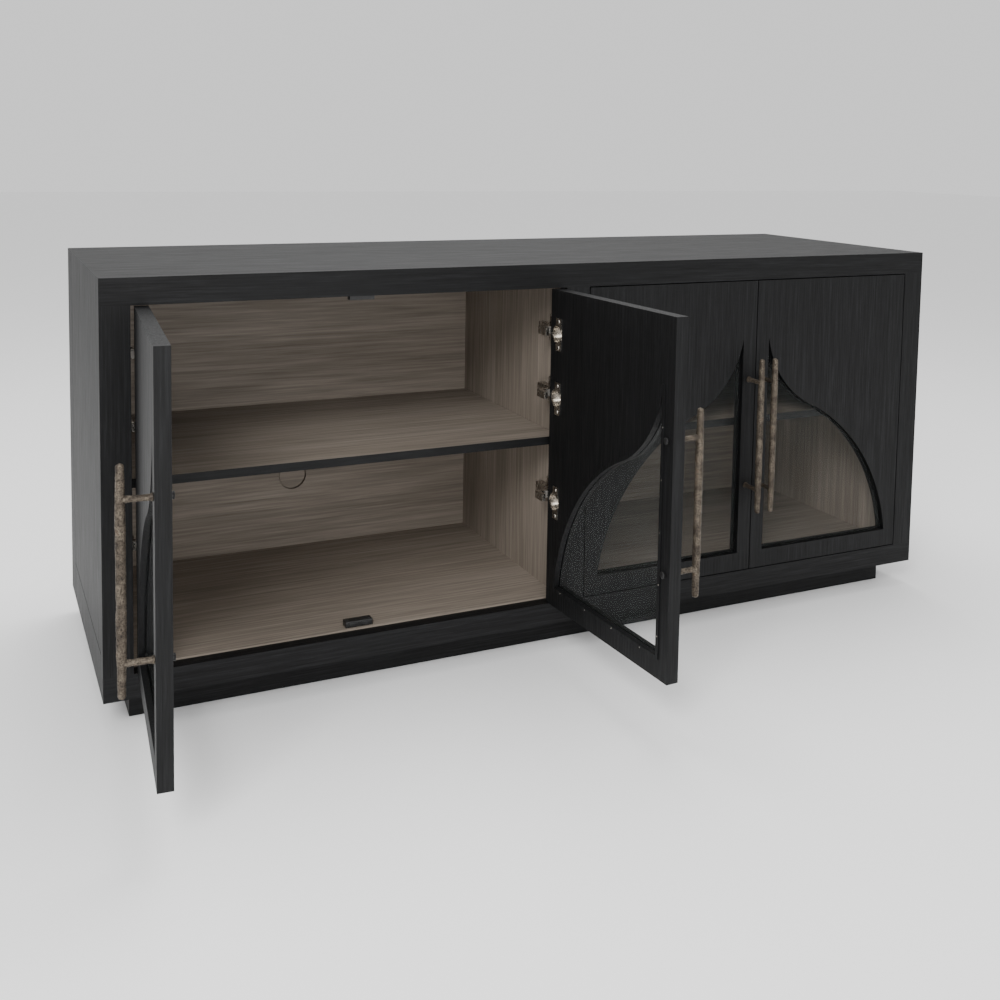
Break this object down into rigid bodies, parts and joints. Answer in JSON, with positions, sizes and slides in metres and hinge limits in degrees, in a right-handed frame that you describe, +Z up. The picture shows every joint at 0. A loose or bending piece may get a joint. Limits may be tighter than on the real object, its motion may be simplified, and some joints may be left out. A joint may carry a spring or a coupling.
{
  "type": "media cabinet",
  "caption": "Low media cabinet with inset doors, ogee glass panels, cast bar handles, a shelf in each bay and a recessed plinth.",
  "frame": {"origin": "centre of the plinth's underside, on the floor", "axes": "+X to the right seen from the front, +Y to the back, +Z up"},
  "size_m": [1.7001, 0.9193, 0.73],
  "materials": {
    "black_oak": "satin",
    "grey_oak": "matte",
    "clear_glass": "gloss",
    "aged_bronze": "matte",
    "nickel": "polished",
    "black_metal": "satin",
    "black_plastic": "satin"
  },
  "bodies": {
    "cabinet": {"bottom_panel": "black_oak", "bottom_rail": "black_oak", "centre_stile": "black_oak", "divider": "grey_oak", "floor_catches": "black_plastic", "hinge_arms_1": "nickel", "hinge_arms_2": "nickel", "hinge_arms_3": "nickel", "hinge_arms_4": "nickel", "left_back_panel": "grey_oak", "left_cable_plug": "grey_oak", "left_floor": "grey_oak", "left_lining": "grey_oak", "left_shelf": "grey_oak", "left_side_panel": "black_oak", "left_stile": "black_oak", "plinth_back": "black_oak", "plinth_ends": "black_oak", "plinth_front": "black_oak", "right_back_panel": "grey_oak", "right_cable_plug": "grey_oak", "right_floor": "grey_oak", "right_lining": "grey_oak", "right_shelf": "grey_oak", "right_side_panel": "black_oak", "right_stile": "black_oak", "shelf_pins": "nickel", "top_catches": "black_plastic", "top_panel": "black_oak", "top_rail": "black_oak"},
    "door_1": {"door_1_bead": "black_oak", "door_1_glass": "clear_glass", "door_1_handle": "aged_bronze", "door_1_handle_bolts": "black_metal", "door_1_hinge_cups": "nickel", "door_1_panel": "black_oak", "door_1_strike": "nickel"},
    "door_2": {"door_2_bead": "black_oak", "door_2_glass": "clear_glass", "door_2_handle": "aged_bronze", "door_2_handle_bolts": "black_metal", "door_2_hinge_cups": "nickel", "door_2_panel": "black_oak", "door_2_strike": "nickel"},
    "door_3": {"door_3_bead": "black_oak", "door_3_glass": "clear_glass", "door_3_handle": "aged_bronze", "door_3_handle_bolts": "black_metal", "door_3_hinge_cups": "nickel", "door_3_panel": "black_oak", "door_3_strike": "nickel"},
    "door_4": {"door_4_bead": "black_oak", "door_4_glass": "clear_glass", "door_4_handle": "aged_bronze", "door_4_handle_bolts": "black_metal", "door_4_hinge_cups": "nickel", "door_4_panel": "black_oak", "door_4_strike": "nickel"}
  },
  "joints": [
    {"name": "door_1_swing", "type": "hinge", "parent": "cabinet", "child": "door_1", "pos_m": [-0.785, -0.2705, 0.3895], "axis": [0, 0, -1], "range_deg": [-94, 11]},
    {"name": "door_2_swing", "type": "hinge", "parent": "cabinet", "child": "door_2", "pos_m": [-0.0315, -0.2705, 0.3895], "axis": [0, 0, 1], "range_deg": [-93, 2]},
    {"name": "door_3_swing", "type": "hinge", "parent": "cabinet", "child": "door_3", "pos_m": [0.0315, -0.2705, 0.3895], "axis": [0, 0, -1], "range_deg": [0, 75]},
    {"name": "door_4_swing", "type": "hinge", "parent": "cabinet", "child": "door_4", "pos_m": [0.785, -0.2705, 0.3895], "axis": [0, 0, 1], "range_deg": [0, 105]}
  ]
}
